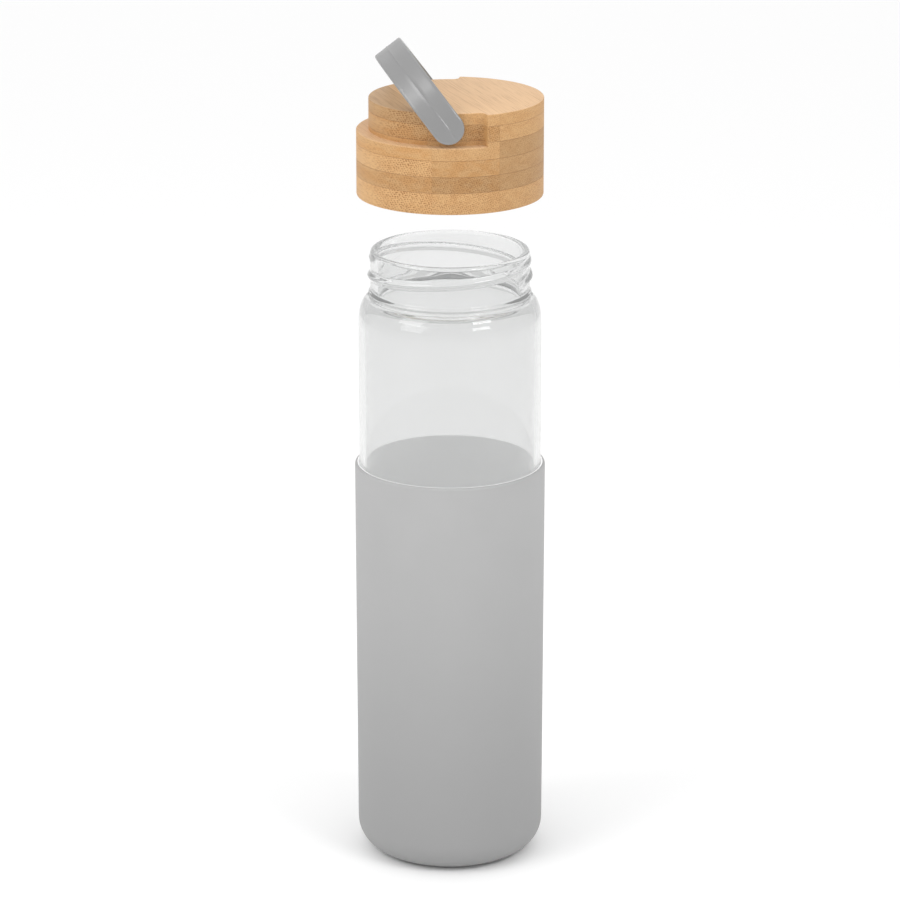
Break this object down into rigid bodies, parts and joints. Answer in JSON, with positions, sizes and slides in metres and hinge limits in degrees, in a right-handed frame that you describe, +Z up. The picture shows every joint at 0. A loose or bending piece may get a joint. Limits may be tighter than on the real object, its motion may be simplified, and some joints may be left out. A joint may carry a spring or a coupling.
{
  "type": "glass water bottle",
  "caption": "Glass water bottle with a silicone sleeve, a wide threaded neck and a bamboo screw lid with a hinged carrying strap.",
  "frame": {"origin": "centre of the sleeve's base, on the surface that the bottle stands on", "axes": "+Z up along the bottle's axis; the folded strap points to -X; the strap's pivot axis is parallel to Y, with the front pivot at -Y"},
  "size_m": [0.0734, 0.0734, 0.3243],
  "materials": {
    "clear_glass": "clear, fire polished",
    "grey_silicone": "matte moulded silicone",
    "clear_silicone": "translucent moulded silicone",
    "bamboo": "sanded laminated bamboo, oiled",
    "white_polymer": "moulded polypropylene or nylon",
    "steel": "turned stainless steel"
  },
  "bodies": {
    "bottle": {"glass_bottle": "clear_glass", "silicone_sleeve": "grey_silicone"},
    "seal": {"mouth_gasket": "clear_silicone"},
    "lid": {"bamboo_ply_1": "bamboo", "bamboo_ply_2": "bamboo", "bamboo_ply_3": "bamboo", "bamboo_ply_4": "bamboo", "bamboo_ply_5": "bamboo", "bamboo_ply_6": "bamboo", "thread_liner": "white_polymer", "pivot_bush_front": "white_polymer", "pivot_bush_rear": "white_polymer"},
    "handle": {"handle_strap": "grey_silicone", "pivot_pin_front": "steel", "pivot_pin_rear": "steel"}
  },
  "joints": [
    {"name": "lid_rise", "type": "slide", "parent": "bottle", "child": "seal", "axis": [0, 0, 1], "range_m": [-0.03961, 0.00001]},
    {"name": "lid_turn", "type": "hinge", "parent": "seal", "child": "lid", "pos_m": [0, 0, 0.2644], "axis": [0, 0, 1], "range_deg": [-1080, 0]},
    {"name": "handle_swing", "type": "hinge", "parent": "lid", "child": "handle", "pos_m": [-0.0058, 0, 0.297], "axis": [0, 1, 0], "range_deg": [-53.3, 46.7]}
  ],
  "couplings": [
    {"joint": "lid_rise", "follows": "lid_turn", "m_per_rad": 0.0021008}
  ]
}
